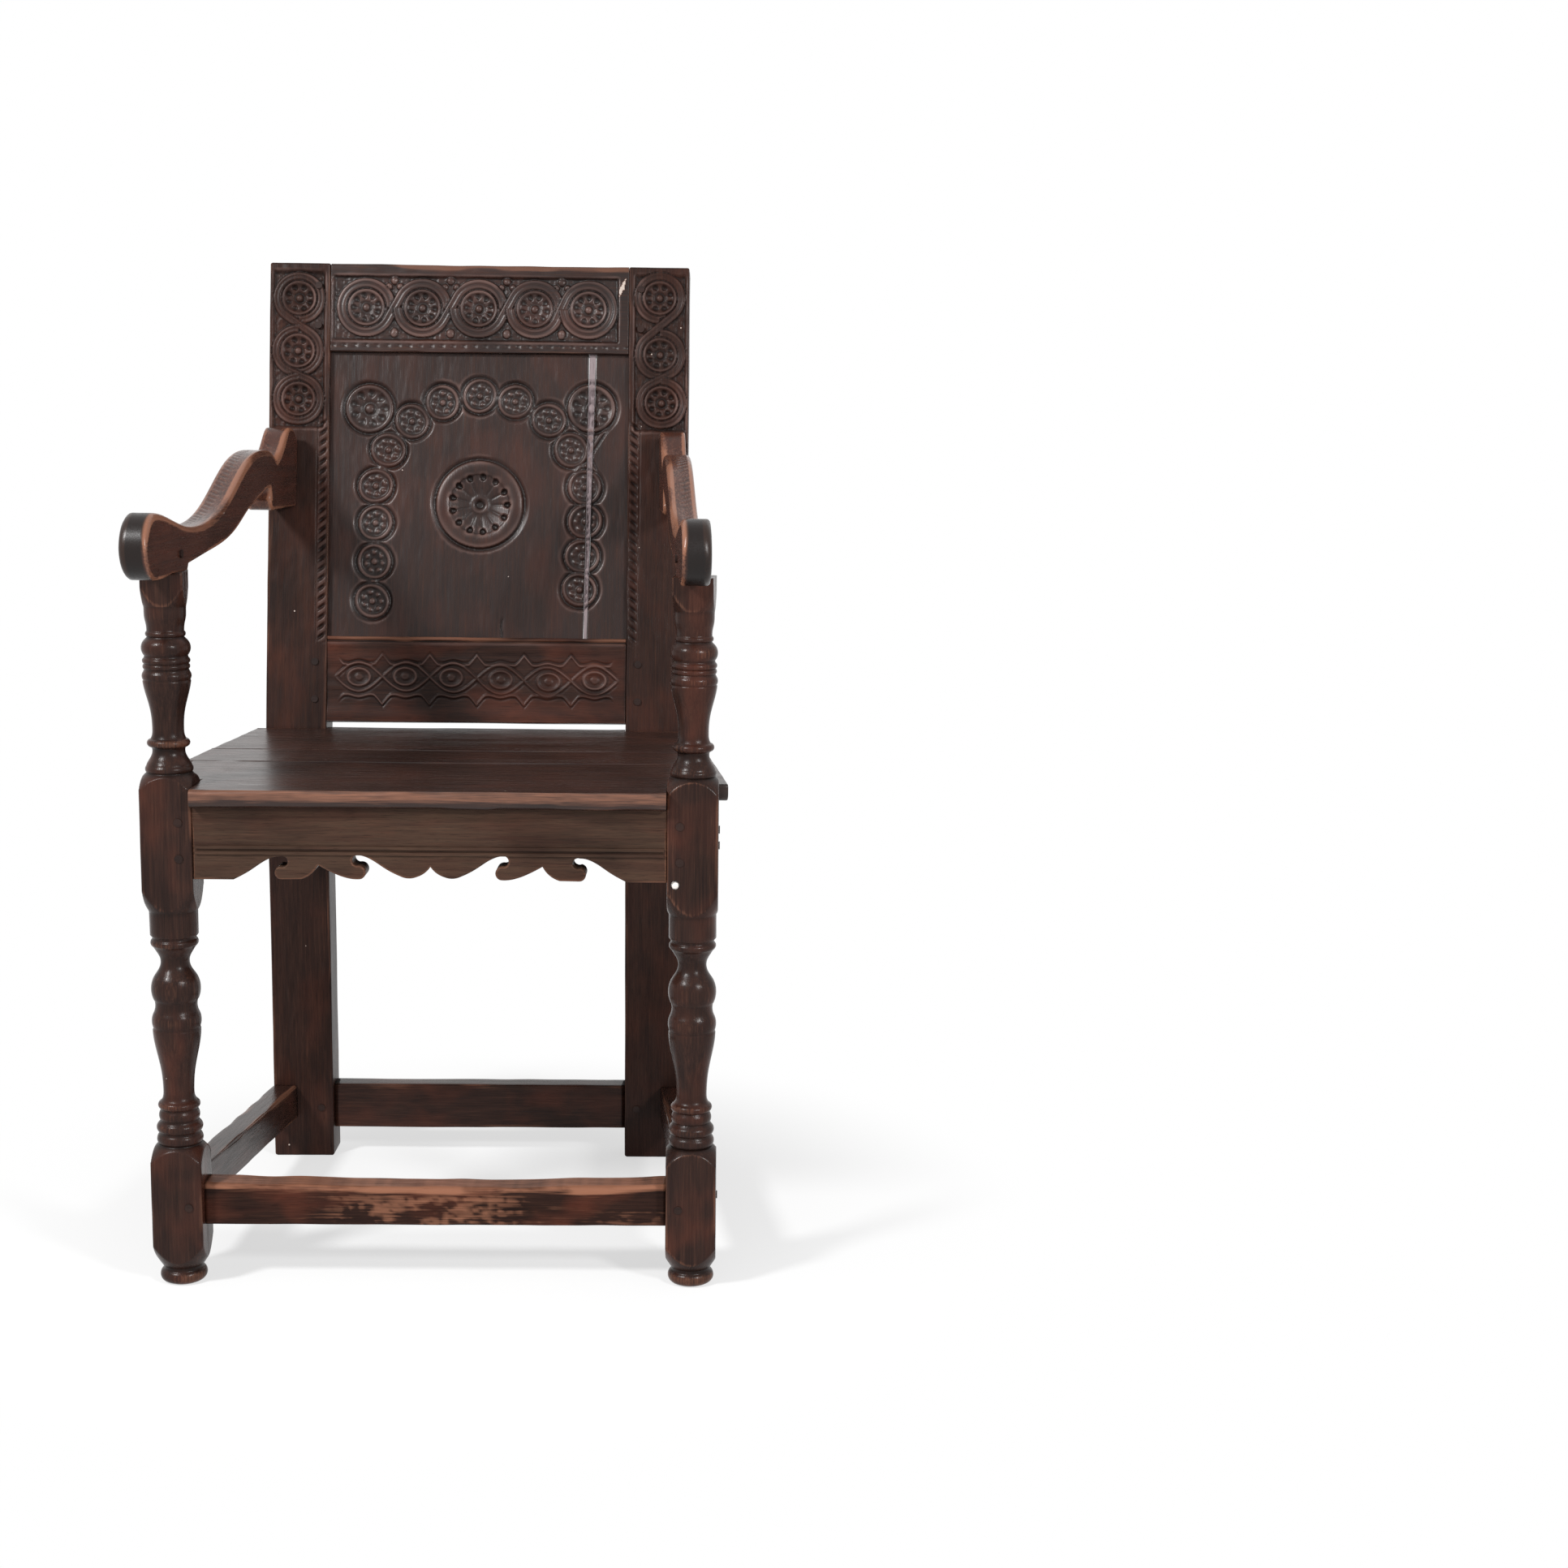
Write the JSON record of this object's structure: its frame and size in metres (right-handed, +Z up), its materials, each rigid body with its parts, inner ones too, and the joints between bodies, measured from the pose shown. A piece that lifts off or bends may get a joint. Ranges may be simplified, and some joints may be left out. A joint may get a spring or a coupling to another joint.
{
  "type": "wainscot chair",
  "caption": "Joined oak armchair with a carved panelled back, scrolled arms, turned front posts, a boarded seat over a shaped apron, and low box stretchers.",
  "frame": {"origin": "on the floor, under the middle of the chair's overall width and depth", "axes": "+X to the right as seen from in front, +Y from the front to the back, +Z up"},
  "size_m": [0.5763, 0.6416, 1.04],
  "materials": {
    "dark_oak": "old dark stained and waxed oak, worn lighter on the edges",
    "waxed_oak_seat": "oak boards polished by use",
    "grey_oak_fillet": "bare grey oak strip",
    "oak_pegs": "riven oak pegs, dark end grain"
  },
  "bodies": {
    "root": {"front_post_left": "dark_oak", "front_post_right": "dark_oak", "rear_post_left": "dark_oak", "rear_post_right": "dark_oak", "crest_rail": "dark_oak", "lower_back_rail": "dark_oak", "back_panel_wide_board": "dark_oak", "back_panel_narrow_board": "dark_oak", "back_panel_fillet": "grey_oak_fillet", "front_seat_rail": "dark_oak", "rear_seat_rail": "dark_oak", "side_seat_rail_left": "dark_oak", "side_seat_rail_right": "dark_oak", "seat_board_front": "waxed_oak_seat", "seat_board_middle": "waxed_oak_seat", "seat_board_rear": "waxed_oak_seat", "arm_left": "dark_oak", "arm_right": "dark_oak", "front_stretcher": "dark_oak", "rear_stretcher": "dark_oak", "side_stretcher_left": "dark_oak", "side_stretcher_right": "dark_oak", "crest_rail_pegs": "oak_pegs", "lower_back_rail_pegs": "oak_pegs", "front_seat_rail_pegs": "oak_pegs", "rear_seat_rail_pegs": "oak_pegs", "side_seat_rail_pegs": "oak_pegs", "front_stretcher_pegs": "oak_pegs", "rear_stretcher_pegs": "oak_pegs", "side_stretcher_pegs": "oak_pegs", "arm_pegs": "oak_pegs"}
  },
  "joints": []
}
